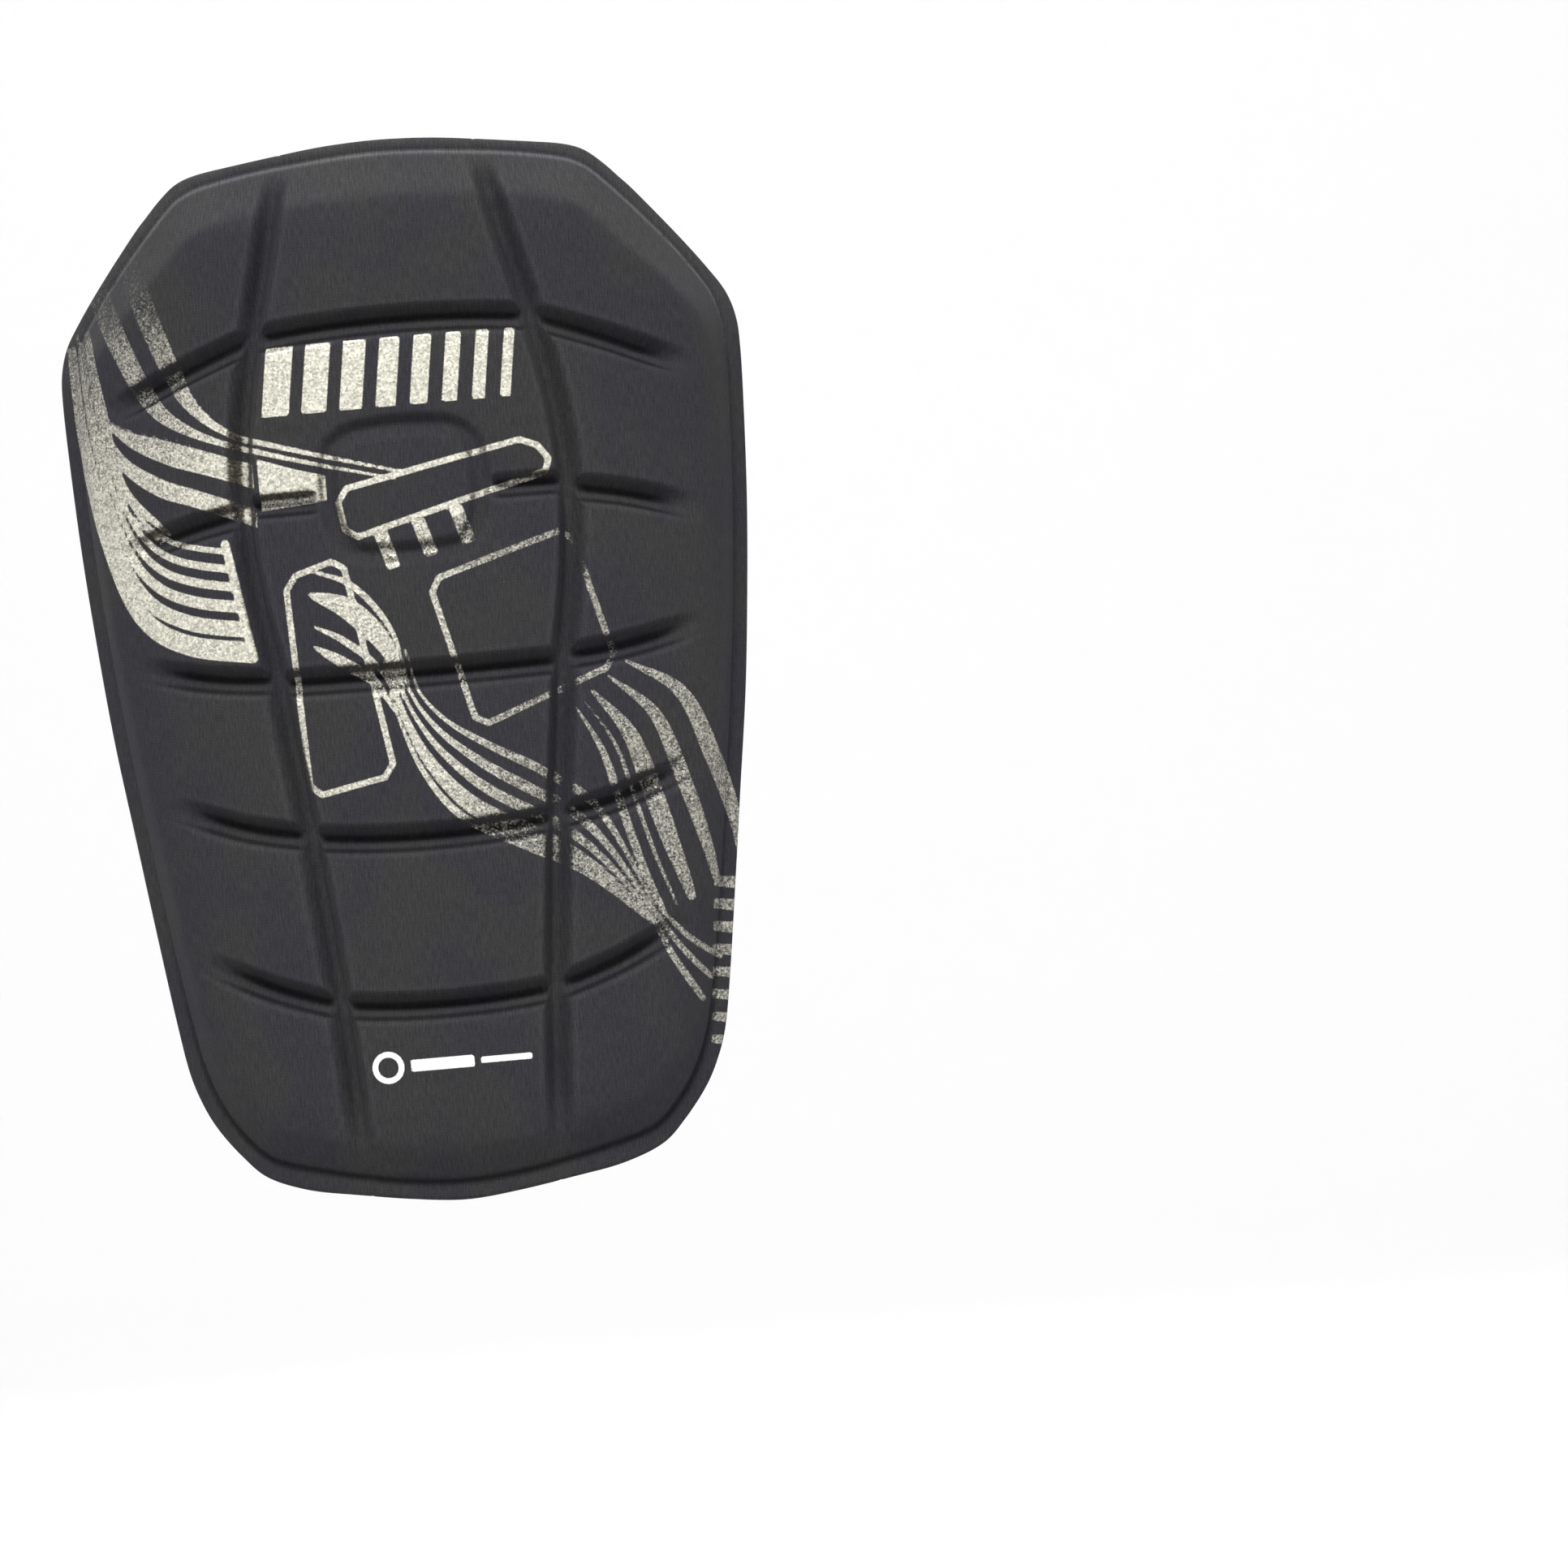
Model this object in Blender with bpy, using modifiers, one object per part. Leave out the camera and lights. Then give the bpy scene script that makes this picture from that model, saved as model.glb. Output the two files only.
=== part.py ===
"""Articulated foam shin guard, one piece, upright as it is worn.

The guard is a sandwich: foam pads on a thin foam web, a face fabric pressed over the pads and down
into the grooves between them, and a lining against the shin. It is laid out flat, like the real
one, in pattern coordinates (s across, z along the shin, t up from the lining) and then wrapped
round the shin. Two long grooves part it into a spine and two wings, which flex about them.

Metres. +Z runs up the shin, +X to the right as seen from in front, and the leg is on the +Y side.
The origin is the middle of the lining's flat strip, against the shin bone.
"""

import math

import bmesh
import bpy
from mathutils import Vector
from mathutils.geometry import delaunay_2d_cdt

MM = 0.001

# Wrap: a flat strip down the middle of the lining, then a round arc to each side.
FLAT_HALF = 8.0 * MM
LINING_RADIUS = 80.0 * MM
PATTERN_RADIUS = 84.0 * MM  # pattern widths are true at this radius
FACET = 8.0 * MM  # width of the flat strips that the arc is made of

# Layers, as heights t above the shin side of the lining.
LINING = (0.0, 0.6 * MM)
WEB = (0.9 * MM, 2.2 * MM)
PAD_BASE = 2.5 * MM
PAD_SHOULDER = 5.5 * MM
PAD_TOP = 7.1 * MM
CLOTH = 0.6 * MM  # face fabric
CLEARANCE = 0.35 * MM  # between the pads and the fabric pressed over them
PANEL_GAP = 1.0 * MM  # between the spine and a wing, at the flex line

# How far a pad's wall leans in, at the shoulder and at the top.
GROOVE_LEAN = (0.25 * MM, 1.4 * MM)
RIM_LEAN = (2.6 * MM, 8.0 * MM)

# Half widths of the grooves between pads, at their floor.
LONG_GROOVE = 2.4 * MM
CROSS_GROOVE = 1.8 * MM
CORNER = 1.8 * MM  # pads' corners are cut back by this much
SHORTEST = 5.0  # a pad has no point nearer its corner than this, in millimetres

# The right half of each line as (x, z) in millimetres seen from in front, top to bottom.
OUTLINE = (
    (0, 105), (20, 103.5), (36, 101.5), (42.5, 99.2), (50.2, 91.8), (58.2, 82.2),
    (65.7, 72.6), (68.0, 67.5), (68.6, 60), (68.3, 48.5), (67.3, 29.3), (65.7, 10),
    (63.7, -9.2), (61, -28.5), (58.3, -47.7), (55.5, -67), (53.6, -76.6), (49.5, -86.2),
    (44.4, -93.2), (38.5, -98.3), (23, -102.1), (0, -105),
)
CREASE = (
    (0, 102.7), (20, 101.3), (34, 99.4), (39.5, 97.6), (53.6, 85), (60, 77),
    (64.6, 69), (65.8, 60), (65.6, 48.5), (64.5, 29.3), (62.8, 10), (60.8, -9),
    (58.3, -28.5), (55.6, -47.5), (52.9, -64), (50.5, -76), (47.5, -83.5),
    (42.5, -90.8), (37, -95.2), (26, -97.6), (13, -100.2), (0, -101.3),
)
LONG_LINE = (
    (19.6, 106), (23.4, 86), (30.0, 58), (32.4, 42), (32.2, 26), (26.8, -16), (23.1, -48),
    (20.4, -82), (19.1, -107),
)
# Each wing's cross grooves, from the long groove to the rim.
WING_LINES = (
    ((28.5, 67.5), (58.5, 55.5)),
    ((33, 33.5), (57.5, 27.5)),
    ((29.5, 0), (56, 5.3)),
    ((27, -30.5), (52, -22.5)),
    ((24, -64), (48, -53.5)),
)
# Where a wing's panel parts from the spine's, at the outline.
SPLIT_TOP, SPLIT_BOTTOM = (19.8, 103.5), (19.3, -102.7)
# The spine's cross grooves: height at the middle, and how much lower or higher it is 25 mm out.
SPINE_LINES = ((69.3, -1.2), (-0.6, 0.3), (-32.6, 1.6), (-66.0, 1.8))
SPINE_HALF = 25.0

# The inset pad and the slots beside it, in the spine's second block.
SLOT_Z = (33.2, 37.0)
POCKET = ((17.4, 44.0), (13.0, 49.2), (0, 50.6))
POCKET_LOW = ((17.4, 30.6), (12.2, 21.4))
INSET = ((12.9, 31.8), (12.9, 43.6), (9.6, 46.0), (0, 46.9))
INSET_LOW = (9.6, 25.6)

# Where the long grooves' walls end at the rim, and how much further the spine's pads reach.
TOP_CUT, BOTTOM_CUT, SPINE_CUT = 100.9, -98.0, 0.8
RIM_FROM = 30.0  # the crease belongs to a wing from this far out

FLEX_X = 26.0 * MM  # the wings flex about upright lines this far out, in the lining's face

COLOURS = {
    "pad": ((0.30, 0.31, 0.33, 1), 0.9),
    "web": ((0.10, 0.10, 0.11, 1), 0.9),
    "face": ((0.055, 0.055, 0.06, 1), 0.85),
    "lining": ((0.03, 0.03, 0.035, 1), 0.95),
}


def pattern(point, height):
    """The (s, z) of a point seen from in front at (x, z) millimetres, at a height t."""
    x, z = point[0] * MM, point[1] * MM
    if abs(x) <= FLAT_HALF:
        return Vector((x, z))
    turn = math.asin((abs(x) - FLAT_HALF) / (LINING_RADIUS + height))
    return Vector((math.copysign(FLAT_HALF + PATTERN_RADIUS * turn, x), z))


def wrap(point):
    """The place in the world of a pattern point (s, z, t)."""
    s, z, t = point
    radius = LINING_RADIUS + t
    turn = max(abs(s) - FLAT_HALF, 0) / PATTERN_RADIUS
    across = min(abs(s), FLAT_HALF) + radius * math.sin(turn)
    return Vector((math.copysign(across, s), LINING_RADIUS - radius * math.cos(turn), z))


def shifted(line, by):
    """A polyline with each point moved by so many millimetres along x."""
    return [(x + by, z) for x, z in line]


def level(height):
    """The same height for every x."""
    return lambda x: height


def straight(ends, by=0.0):
    """The height as a function of x along the line through two points, moved up by so much."""
    (x0, z0), (x1, z1) = ends
    slope = (z1 - z0) / (x1 - x0)
    rise = by * math.hypot(1, slope)
    return lambda x: z0 + slope * (x - x0) + rise


def bowed(middle, change, by=0.0):
    """The height as a function of x along a shallow bow."""
    return lambda x: middle + change * (x / SPINE_HALF) ** 2 + by


def between(line, low, high):
    """The stretch of a downward polyline that lies between two lines, with its cut ends."""
    kept = []
    for a, b in zip(line, line[1:]):
        for cut in (high, low):
            da, db = a[1] - cut(a[0]), b[1] - cut(b[0])
            if da > 0 >= db:
                share = da / (da - db)
                kept.append((a[0] + share * (b[0] - a[0]), a[1] + share * (b[1] - a[1])))
        if low(b[0]) < b[1] < high(b[0]):
            kept.append(b)
    if low(line[0][0]) < line[0][1] < high(line[0][0]):
        kept.insert(0, line[0])
    ends = kept[0], kept[-1]
    clear = [p for p in kept[1:-1] if min(math.dist(p, end) for end in ends) > SHORTEST]
    return [ends[0], *clear, ends[1]]


def mirrored(points):
    """The points' mirror image in the middle plane, in the opposite order."""
    return [(-x, z) for x, z in reversed(points)]


def cut_corners(points, rims):
    """Cuts each sharp corner between two groove walls, so that it isn't a point."""
    new_points, new_rims = [], []
    count = len(points)
    for i in range(count):
        here = points[i]
        back, ahead = points[i - 1] - here, points[(i + 1) % count] - here
        sharp = back.angle(ahead) < math.radians(140)
        if sharp and not rims[i - 1] and not rims[i]:
            for way in (back, ahead):
                new_points.append(here + way.normalized() * min(CORNER, 0.4 * way.length))
            new_rims += [False, rims[i]]
        else:
            new_points.append(here)
            new_rims.append(rims[i])
    return new_points, new_rims


def anticlockwise(loop):
    """The loop, turned round if it is clockwise."""
    area = sum(a.cross(b) for a, b in zip(loop, loop[1:] + loop[:1]))
    return loop if area > 0 else loop[::-1]


def pad(points, rim_points=()):
    """A pad's outline in the pattern, anticlockwise, and which of its walls are on the rim."""
    flat = [pattern(p, PAD_BASE if p in rim_points else PAD_TOP) for p in points]
    rims = [a in rim_points and b in rim_points for a, b in zip(points, points[1:] + points[:1])]
    if anticlockwise(flat) is not flat:
        flat, rims = flat[::-1], rims[-2::-1] + rims[-1:]
    return cut_corners(flat, rims)


def wing_pads(side):
    """The wing's pads from top to bottom, for side 1 or -1."""
    half = CROSS_GROOVE / MM
    inner = shifted(LONG_LINE, LONG_GROOVE / MM)
    outer = [p for p in CREASE if p[0] > RIM_FROM]
    highs = [level(TOP_CUT)] + [straight(line, -half) for line in WING_LINES]
    lows = [straight(line, half) for line in WING_LINES] + [level(BOTTOM_CUT)]
    pads = []
    for number, (high, low) in enumerate(zip(highs, lows)):
        wall = between(inner, low, high)
        rim = between(outer, low, high)
        if number == 0:
            rim = [wall.pop(0)] + rim
        if number == len(WING_LINES):
            rim = rim + [wall.pop()]
        rim = [(side * x, z) for x, z in rim]
        wall = [(side * x, z) for x, z in reversed(wall)]
        pads.append(pad(rim + wall, rim))
    return pads


def spine_pads():
    """The spine's pads by name, top to bottom."""
    half = CROSS_GROOVE / MM
    highs = [level(TOP_CUT + SPINE_CUT)] + [bowed(z, bow, -half) for z, bow in SPINE_LINES]
    lows = [bowed(z, bow, half) for z, bow in SPINE_LINES] + [level(BOTTOM_CUT - SPINE_CUT)]
    inner = shifted(LONG_LINE, -LONG_GROOVE / MM)

    def ring(low, high, crest=None, foot=None):
        """Down the right wall, along the bottom, up the left wall and along the top."""
        side = between(inner, low, high)
        return side + (foot or [(0, low(0))]) + mirrored(side) + (crest or [(0, high(0))])

    top = ring(lows[0], highs[0], crest=[CREASE[0]])
    bottom = ring(lows[4], highs[4], foot=[CREASE[-1]])
    slot_low, slot_high = SLOT_Z
    pocket = [(POCKET[0][0], slot_high), *POCKET]
    pocket += mirrored(pocket[:-1])
    arch = ring(level(slot_high), highs[1], foot=pocket)
    hollow = [(POCKET_LOW[0][0], slot_low), *POCKET_LOW]
    saddle = ring(lows[1], level(slot_low), crest=mirrored(hollow)[::-1] + hollow[::-1])
    inset = [INSET_LOW, *INSET]
    return {
        "spine_pad_top": pad(top, [top[-2], top[-1], top[0]]),
        "spine_pad_arch": pad(arch),
        "spine_pad_inset": pad(inset + mirrored(inset[:-1])),
        "spine_pad_saddle": pad(saddle),
        "spine_pad_middle": pad(ring(lows[2], highs[2])),
        "spine_pad_lower": pad(ring(lows[3], highs[3])),
        "spine_pad_bottom": pad(bottom, [p for p in bottom if p[1] < BOTTOM_CUT]),
    }


def leaned(points, distances):
    """The outline with each wall moved in by its own distance; negative moves it out."""
    count = len(points)
    moved = []
    for i in range(count):
        here = points[i]
        before = (here - points[i - 1]).normalized()
        after = (points[(i + 1) % count] - here).normalized()
        na, nb = Vector((-before.y, before.x)), Vector((-after.y, after.x))
        da, db = distances[i - 1], distances[i]
        across = na.cross(nb)
        if abs(across) < 0.05:
            moved.append(here + (na + nb).normalized() * (da + db) / 2)
        else:
            shift = Vector((da * nb.y - db * na.y, db * na.x - da * nb.x)) / across
            moved.append(here + shift)
    return moved


def raise_pad(bm, face, outline, rims, grow, top_lift):
    """Extrudes a pad's face up its wall, over the shoulder and to its flat top."""
    heights = (PAD_SHOULDER, PAD_TOP + top_lift)
    ring = leaned(outline, [-grow] * len(outline))
    for step in range(2):
        leans = [(RIM_LEAN if rim else GROOVE_LEAN)[step] - grow for rim in rims]
        target = leaned(outline, leans)
        made = bmesh.ops.extrude_face_region(bm, geom=[face])["geom"]
        bmesh.ops.delete(bm, geom=[face], context="FACES_ONLY")
        face = next(g for g in made if isinstance(g, bmesh.types.BMFace))
        for vert in face.verts:
            here = Vector((vert.co.x, vert.co.y))
            nearest = min(range(len(ring)), key=lambda k: (ring[k] - here).length_squared)
            vert.co = (*target[nearest], heights[step])
        ring = target
    return face


def finish_mesh(name, bm, slot, collection):
    """Cuts a flat mesh into facets, wraps it round the shin and makes it an object."""
    widest = max(abs(vert.co.x) for vert in bm.verts)
    for side in (-1, 1):
        cut = FLAT_HALF
        while cut < widest:
            bmesh.ops.bisect_plane(
                bm,
                geom=bm.verts[:] + bm.edges[:] + bm.faces[:],
                dist=0.02 * MM,
                plane_co=(side * cut, 0, 0),
                plane_no=(1, 0, 0),
            )
            cut += FACET
    bmesh.ops.triangulate(bm, faces=bm.faces[:])
    for vert in bm.verts:
        vert.co = wrap(vert.co)
    bmesh.ops.recalc_face_normals(bm, faces=bm.faces[:])
    is_open = any(edge.is_boundary for edge in bm.edges)
    forward = -sum(face.normal.y * face.calc_area() for face in bm.faces)
    if (forward if is_open else bm.calc_volume(signed=True)) < 0:
        bmesh.ops.reverse_faces(bm, faces=bm.faces[:])
    mesh = bpy.data.meshes.new(name)
    bm.to_mesh(mesh)
    bm.free()
    mesh.materials.append(material(slot))
    made = bpy.data.objects.new(name, mesh)
    collection.objects.link(made)
    return made


def material(slot):
    """The Principled material of a layer, made once."""
    found = bpy.data.materials.get(slot)
    if found:
        return found
    colour, roughness = COLOURS[slot]
    made = bpy.data.materials.new(slot)
    made.use_nodes = True
    shader = made.node_tree.nodes["Principled BSDF"]
    shader.inputs["Base Color"].default_value = colour
    shader.inputs["Roughness"].default_value = roughness
    shader.inputs["Metallic"].default_value = 0.0
    made.diffuse_color = colour
    return made


def pad_object(name, outline, rims, collection):
    """A foam pad: a flat base, walls that lean in and a flat top."""
    bm = bmesh.new()
    base = bm.faces.new([bm.verts.new((*p, PAD_BASE)) for p in outline])
    made = bmesh.ops.extrude_face_region(bm, geom=[base])["geom"]
    top = next(g for g in made if isinstance(g, bmesh.types.BMFace))
    raise_pad(bm, top, outline, rims, 0.0, 0.0)
    bmesh.ops.remove_doubles(bm, verts=bm.verts[:], dist=0.001 * MM)
    return finish_mesh(name, bm, "pad", collection)


def panel(side):
    """The outline of the spine's panel (side 0) or of a wing's, in the pattern, anticlockwise."""
    line = [SPLIT_TOP, *LONG_LINE[1:-1], SPLIT_BOTTOM]
    half_gap = PANEL_GAP / MM / 2
    if side:
        outer = [p for p in OUTLINE if p[0] > SPLIT_TOP[0] + 2 * half_gap]
        flat = [pattern((side * x, z), WEB[1]) for x, z in outer]
        inner = reversed(shifted(line, half_gap))
        flat += [pattern((side * x, z), PAD_TOP) for x, z in inner]
    else:
        right = shifted(line, -half_gap)
        ring = right + [OUTLINE[-1]] + mirrored(right) + [OUTLINE[0]]
        flat = [pattern(p, PAD_TOP) for p in ring]
    return anticlockwise(flat)


def sheet_object(name, outline, heights, slot, collection):
    """A flat layer of the sandwich between two heights."""
    bm = bmesh.new()
    low, high = heights
    base = bm.faces.new([bm.verts.new((*p, low)) for p in outline])
    made = bmesh.ops.extrude_face_region(bm, geom=[base])["geom"]
    for vert in (g for g in made if isinstance(g, bmesh.types.BMVert)):
        vert.co.z = high
    return finish_mesh(name, bm, slot, collection)


def face_object(name, outline, pads, collection):
    """The face fabric of a panel, pressed over its pads and on to the web between them."""
    grown = [leaned(points, [-CLEARANCE] * len(points)) for points, _ in pads]
    loops = [outline] + grown
    points, faces = [], []
    for loop in loops:
        faces.append(list(range(len(points), len(points) + len(loop))))
        points += loop
    found = delaunay_2d_cdt(points, [], faces, 4, 1e-7)
    bm = bmesh.new()
    verts = [bm.verts.new((*p, PAD_BASE)) for p in found[0]]
    regions = {}
    for corners, inside in zip(found[2], found[5]):
        face = bm.faces.new([verts[i] for i in corners])
        regions.setdefault(max(inside), []).append(face)
    for index, (pad_outline, rims) in enumerate(pads, start=1):
        region = regions[index]
        if len(region) > 1:
            region = bmesh.ops.dissolve_faces(bm, faces=region)["region"]
        raise_pad(bm, region[0], pad_outline, rims, CLEARANCE, CLEARANCE)
    made = finish_mesh(name, bm, "face", collection)
    solidify = made.modifiers.new("cloth", "SOLIDIFY")
    solidify.thickness = CLOTH
    solidify.offset = 1.0
    solidify.use_even_offset = True
    solidify.use_quality_normals = True
    return made


def flex_line(label, side, collection):
    """An empty on the line about which a wing flexes."""
    made = bpy.data.objects.new(f"{label}_flex_line", None)
    out = FLEX_X - FLAT_HALF
    depth = LINING_RADIUS - math.sqrt(LINING_RADIUS**2 - out**2)
    made.location = (side * FLEX_X, depth, 0)
    collection.objects.link(made)
    return made


def build_section(label, side, pads, collection):
    """The spine (side 0) or a wing: its pads, web, lining and face fabric."""
    pieces = [pad_object(name, *shape, collection) for name, shape in pads.items()]
    outline = panel(side)
    pieces.append(sheet_object(f"{label}_lining", outline, LINING, "lining", collection))
    pieces.append(sheet_object(f"{label}_web", outline, WEB, "web", collection))
    face = face_object(f"{label}_face_fabric", outline, list(pads.values()), collection)
    return pieces + [face]


def build():
    """Clears the scene and models every piece."""
    for old in list(bpy.data.objects):
        bpy.data.objects.remove(old, do_unlink=True)
    collection = bpy.data.collections.new("shin_guard")
    bpy.context.scene.collection.children.link(collection)
    build_section("spine", 0, spine_pads(), collection)
    for label, side in (("left", -1), ("right", 1)):
        pads = {f"{label}_pad_{number}": shape for number, shape in enumerate(wing_pads(side), 1)}
        line = flex_line(label, side, collection)
        for piece in build_section(label, side, pads, collection):
            piece.parent = line
            piece.matrix_parent_inverse.translation = -line.location


build()
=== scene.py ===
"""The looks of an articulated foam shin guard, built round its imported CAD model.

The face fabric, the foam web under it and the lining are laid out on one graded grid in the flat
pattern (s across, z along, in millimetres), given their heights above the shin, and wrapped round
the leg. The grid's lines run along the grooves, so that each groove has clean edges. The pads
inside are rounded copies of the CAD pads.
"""

import math

import bpy
import numpy as np
from mathutils import Matrix, Vector


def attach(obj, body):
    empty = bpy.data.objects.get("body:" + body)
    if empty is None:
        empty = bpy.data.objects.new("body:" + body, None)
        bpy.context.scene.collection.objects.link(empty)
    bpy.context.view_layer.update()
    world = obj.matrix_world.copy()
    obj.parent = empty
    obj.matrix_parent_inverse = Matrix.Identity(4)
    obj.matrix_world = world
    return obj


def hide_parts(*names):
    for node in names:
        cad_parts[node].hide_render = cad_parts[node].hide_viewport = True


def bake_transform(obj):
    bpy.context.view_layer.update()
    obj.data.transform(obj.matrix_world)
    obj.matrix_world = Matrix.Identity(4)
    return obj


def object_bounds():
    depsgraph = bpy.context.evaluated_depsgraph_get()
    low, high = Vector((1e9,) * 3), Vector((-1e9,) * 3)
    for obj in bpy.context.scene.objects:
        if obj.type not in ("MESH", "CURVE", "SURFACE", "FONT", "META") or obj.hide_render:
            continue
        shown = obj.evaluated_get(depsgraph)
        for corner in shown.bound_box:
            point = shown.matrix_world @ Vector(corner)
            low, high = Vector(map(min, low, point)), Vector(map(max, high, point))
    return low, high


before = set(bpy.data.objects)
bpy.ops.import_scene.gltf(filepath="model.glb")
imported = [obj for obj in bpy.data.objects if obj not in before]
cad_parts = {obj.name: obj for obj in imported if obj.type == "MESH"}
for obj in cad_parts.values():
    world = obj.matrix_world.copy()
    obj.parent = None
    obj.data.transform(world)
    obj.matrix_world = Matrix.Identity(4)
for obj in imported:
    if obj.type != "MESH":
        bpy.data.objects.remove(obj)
cad_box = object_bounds()

MM = 0.001
# Wrap of the CAD model, in millimetres: a flat strip, then an arc.
FLAT_HALF, LINING_RADIUS, PATTERN_RADIUS = 8.0, 80.0, 84.0

# Heights above the shin side of the lining, and the face fabric's thickness, in millimetres.
LINING_TOP = 0.6
WEB_TOP = 2.0
FLANGE_TOP = 2.5
PAD_CREST = 8.1
CLOTH = 0.55

SHOULDER, SHOULDER_SIDE = 9.5, 7.0  # width of the slope up to the pads, at the top and elsewhere
CROWN = 0.75  # how far each pad swells above its edges
STEP_AT = 2.5  # from a cross groove's line down to the step at the pad below
PAD_VOXEL = 1.1 * MM
PAD_ROOM = 1.0  # from the face's outside down to the pads
FLEX_ROOM = 1.5  # how much lower the spine pads' sides lie, where the cover bends with a wing
FINE, COARSE, FINE_REACH = 0.36, 0.70, 3.0  # grid steps near the grooves and elsewhere

# The print, the weave and the lining's holes, in millimetres.
FAR = 9.0  # a distance that is clear of any print
FOIL_GRAIN = 0.42
RIB, COURSE = 0.62, 0.55  # width of a rib and height of a row of stitches
HOLE_SPACING = 2.1
MARK_HEIGHT = -77.6  # of the small white print

# The camera looks along +y, with its up turned by ROLL degrees. Lengths are in metres.
ROLL = 5.0
AIM_RIGHT, AIM_UP = 0.0716, -0.0226  # from the guard's middle to the middle of the view
DISTANCE, FRAME_WIDTH = 1.5, 0.31

# The stage: a floor, a sweep all round it, and a wall, in metres. Lights are in watts.
FLOOR, FLOOR_RADIUS, SWEEP, WALL_TOP = -0.30, 2.4, 1.5, 3.4
PAPER = (0.80, 0.80, 0.80, 1.0)
WORLD_STRENGTH, KEY_POWER, FILL_POWER, BACK_POWER = 0.18, 58.0, 17.0, 66.0

# The right half of each line as (x, z) seen from in front, top to bottom.
OUTLINE = [
    (0, 105), (10, 104.6), (20, 103.6), (30, 102.4), (36.8, 101.5), (41.0, 100.1), (44.6, 97.3),
    (47.4, 94.5), (50.2, 91.6), (58.2, 82.2), (63.4, 75.6), (66.6, 70.8), (68.2, 65.8),
    (68.6, 60), (68.3, 48.5), (67.3, 29.3), (65.7, 10), (63.7, -9.2), (61, -28.5),
    (58.3, -47.7), (55.6, -66), (53.8, -76), (51.6, -82.4), (48.8, -87.6), (44.4, -93.2),
    (39.6, -97.6), (32, -100.5), (23, -102.2), (11, -104), (0, -105),
]
CREASE = [
    (0, 102.7), (20, 101.4), (33, 99.7), (39, 98.1), (43.5, 94.9), (53.0, 84.9), (59.6, 76.8),
    (64.0, 69.6), (65.7, 60), (65.5, 48.5), (64.4, 29.3), (62.8, 10), (60.7, -9), (58.1, -28.5),
    (55.4, -47.5), (52.5, -65), (50.3, -75.5), (47.0, -83.8), (42.4, -90.3), (37, -94.6),
    (26, -97.6), (13, -100.2), (0, -101.3),
]
LONG_LINE = [
    (19.8, 103.5), (23.4, 86), (27.6, 69), (31.2, 51), (32.5, 34), (31.4, 18), (28.8, 2),
    (26.8, -14), (24.8, -30), (23.1, -47), (21.6, -63), (20.4, -80), (19.5, -96), (19.3, -102.7),
]
OUTLINE_SIDE = ((66.6, 70.8), (51.6, -82.4))  # where the outline's side starts and ends
# Each wing's cross grooves from the long groove, and the heights at which they fade out.
WING_GROOVES = [
    [(27.6, 67.8), (43, 62.2), (59.5, 55.3)],
    [(32.3, 33.6), (45, 31.2), (58.5, 27.0)],
    [(28.8, 0.2), (42, 1.8), (57.0, 5.4)],
    [(24.8, -31.0), (38, -28.0), (53.0, -22.2)],
    [(21.8, -64.6), (35, -60.0), (49.0, -53.0)],
]
# The spine's cross grooves: height in the middle, and how much that changes 25 mm out.
SPINE_GROOVES = [(69.2, -1.3), (35.1, 0.0), (-0.7, 0.3), (-32.8, 1.7), (-66.0, 1.9)]
SPINE_HALF = 25.0
SLOT_ROW = 1  # the spine's second row line runs through the inset pad and its slots
# The groove round the inset pad, and the slots beside it.
INSET_GROOVE = [
    (0, 48.4), (6, 48.1), (10.5, 47.2), (13.8, 44.4), (14.9, 39.5), (14.9, 34), (13.6, 28.6),
    (10.9, 24.4), (6, 23.4), (0, 23.3),
]


# ---------------------------------------------------------------- lines and the wrap


def smooth(points, across=False, step=0.5):
    """A smooth line through the points, as an even polyline.

    across: the line goes on past the middle, as its own mirror image.
    """
    p = np.array(points, float)
    flip = np.array([-1, 1])
    first = p[1] * flip if across else 2 * p[0] - p[1]
    last = p[-2] * flip if across else 2 * p[-1] - p[-2]
    p = np.vstack([first, p, last])
    out = []
    for a, b, c, d in zip(p[:-3], p[1:-2], p[2:-1], p[3:]):
        count = max(2, int(np.linalg.norm(c - b) / step))
        t = np.arange(count)[:, None] / count
        bend = (2 * a - 5 * b + 4 * c - d) * t**2 + (3 * b - a - 3 * c + d) * t**3
        out.append(0.5 * (2 * b + (c - a) * t + bend))
    out.append(p[-2:-1])
    return np.vstack(out)


def to_pattern(points, height):
    """Pattern places (s, z) of points seen from in front, at a height above the lining."""
    p = np.array(points, float)
    over = np.maximum(np.abs(p[:, 0]) - FLAT_HALF, 0)
    turn = np.arcsin(np.clip(over / (LINING_RADIUS + height), -1, 1))
    s = np.minimum(np.abs(p[:, 0]), FLAT_HALF) + PATTERN_RADIUS * turn
    return np.column_stack([np.copysign(s, p[:, 0]), p[:, 1]])


def wrapped(s, z, height):
    """World places, in metres, of pattern points at a height above the lining."""
    turn = np.maximum(np.abs(s) - FLAT_HALF, 0) / PATTERN_RADIUS
    radius = LINING_RADIUS + height
    across = np.minimum(np.abs(s), FLAT_HALF) + radius * np.sin(turn)
    return MM * np.column_stack(
        [np.copysign(across, s), LINING_RADIUS - radius * np.cos(turn), z]
    )


def unwrapped(places):
    """Pattern points and heights of world places."""
    x, y, z = (np.asarray(places) / MM).T
    over = np.maximum(np.abs(x) - FLAT_HALF, 0)
    turn = np.arctan2(over, LINING_RADIUS - y)
    height = np.where(over > 0, np.hypot(over, LINING_RADIUS - y) - LINING_RADIUS, -y)
    s = np.copysign(np.minimum(np.abs(x), FLAT_HALF) + PATTERN_RADIUS * turn, x)
    return s, z, height


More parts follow.
